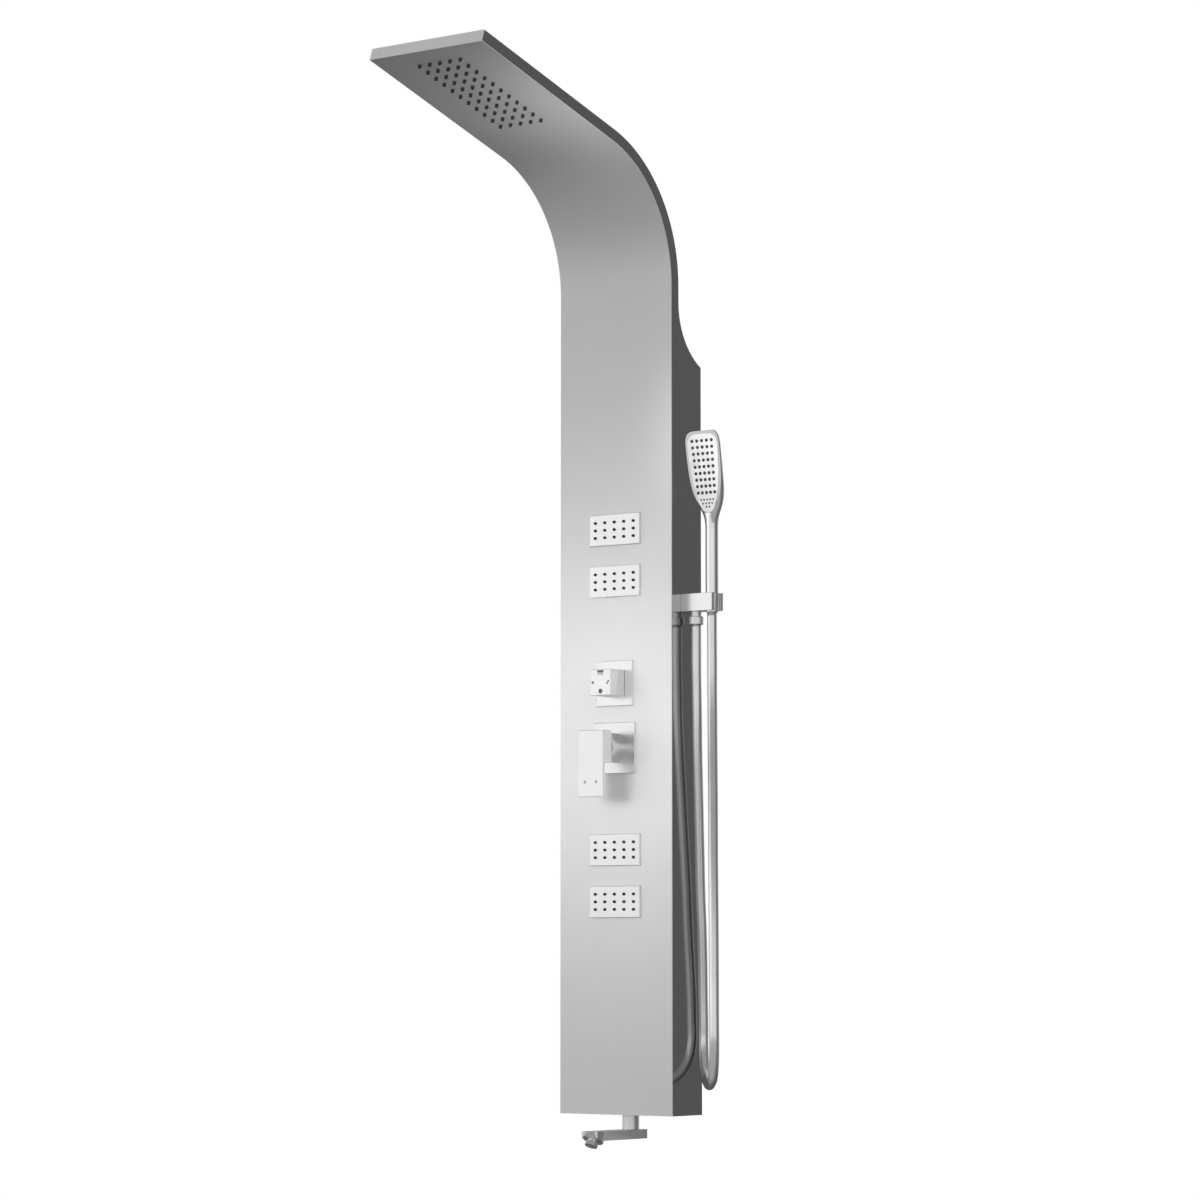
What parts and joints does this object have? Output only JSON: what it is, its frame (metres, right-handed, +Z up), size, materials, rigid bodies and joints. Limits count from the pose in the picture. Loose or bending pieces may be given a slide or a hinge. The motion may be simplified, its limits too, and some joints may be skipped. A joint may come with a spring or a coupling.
{
  "type": "shower panel column",
  "caption": "Wall-hung stainless shower column with an overhanging rain arm, body jets, lever mixer, diverter knob, hand shower on a hose and a swivelling bath spout.",
  "frame": {"origin": "on the wall plane, midway between the two fixing holes of the upper wall bracket", "axes": "+Y into the wall, +Z up, +X to the right of someone facing the panel; the bath spout and the rain arm point along -Y"},
  "size_m": [0.2948, 0.4929, 1.515],
  "materials": {
    "satin_steel": "satin stainless sheet",
    "polished_steel": "polished stainless sheet",
    "bare_steel": "mill finish",
    "chrome": "bright chrome plate",
    "plated_plastic": "chrome-plated ABS",
    "spray_face": "light grey spray face",
    "nozzle_rubber": "silicone",
    "housing_plastic": "moulded acetal",
    "tube_plastic": "white water tube",
    "brass": "machined",
    "screw_steel": "stainless",
    "mark_ink": "filled marks",
    "hose_skin": "smooth silver hose"
  },
  "bodies": {
    "panel": {"front_panel": "satin_steel", "side_plate_left": "polished_steel", "side_plate_right": "polished_steel", "back_sheet": "satin_steel", "tip_cap": "satin_steel", "bottom_plate": "polished_steel", "hanging_rails": "bare_steel", "wall_bracket_upper": "bare_steel", "wall_bracket_lower": "bare_steel", "rain_chamber": "bare_steel", "rain_nozzle_mat": "nozzle_rubber", "riser_tube": "tube_plastic", "jet_plate_1": "chrome", "jet_plate_2": "chrome", "jet_plate_3": "chrome", "jet_plate_4": "chrome", "jet_nozzles": "nozzle_rubber", "jet_housings": "housing_plastic", "jet_screws": "screw_steel", "jet_manifold": "tube_plastic", "diverter_plate": "chrome", "diverter_locknut": "brass", "diverter_body": "brass", "diverter_cartridge": "housing_plastic", "mixer_plate": "chrome", "mixer_locknut": "brass", "mixer_body": "brass", "mixer_cartridge": "housing_plastic", "cartridge_nut": "brass", "mixer_shroud": "chrome", "supply_tube": "bare_steel", "fork_bracket": "chrome", "bracket_locknut": "brass", "handset_feed_tube": "tube_plastic", "hose_nut": "chrome", "hose": "hose_skin", "spout_bush": "brass", "spout_set_screw": "screw_steel", "spout_feed_tube": "tube_plastic"},
    "diverter": {"diverter_spindle": "brass", "diverter_knob": "chrome", "knob_grub_screw": "screw_steel", "knob_marks": "mark_ink"},
    "turner": {"cartridge_turner": "housing_plastic"},
    "lever": {"lever_stem": "screw_steel", "lever_block": "chrome", "lever_plate": "chrome", "lever_grub_screw": "screw_steel", "lever_dots": "mark_ink"},
    "hose_end": {"cone_nut": "chrome"},
    "handset": {"handset_body": "plated_plastic", "handset_face": "spray_face", "handset_nozzles": "nozzle_rubber"},
    "spout": {"spout_stem": "chrome", "spout_seals": "nozzle_rubber", "spout_bar": "chrome", "aerator_ring": "chrome"},
    "aerator": {"aerator_nozzle": "chrome", "aerator_insert": "housing_plastic"}
  },
  "joints": [
    {"name": "diverter_turn", "type": "hinge", "parent": "panel", "child": "diverter", "pos_m": [0, -0.09, -0.39], "axis": [0, 1, 0], "continuous": true},
    {"name": "mixer_turn", "type": "hinge", "parent": "panel", "child": "turner", "pos_m": [0, -0.09, -0.482], "axis": [0, -1, 0], "range_deg": [-45, 45]},
    {"name": "mixer_lift", "type": "hinge", "parent": "turner", "child": "lever", "pos_m": [0, -0.097, -0.482], "axis": [-1, 0, 0], "range_deg": [0, 25]},
    {"name": "handset_lift", "type": "slide", "parent": "panel", "child": "hose_end", "axis": [0, 0, 1], "range_m": [0, 0.04], "deforming": ["hose"]},
    {"name": "handset_swivel", "type": "hinge", "parent": "hose_end", "child": "handset", "pos_m": [0.145, -0.035, -0.28], "axis": [0, 0, 1], "range_deg": [-90, 90]},
    {"name": "spout_swivel", "type": "hinge", "parent": "panel", "child": "spout", "pos_m": [0, -0.035, -1.01], "axis": [0, 0, 1], "range_deg": [-90, 90]},
    {"name": "aerator_tilt", "type": "hinge", "parent": "spout", "child": "aerator", "pos_m": [0, -0.121, -1.0314], "axis": [1, 0, 0], "range_deg": [-12, 12]}
  ]
}
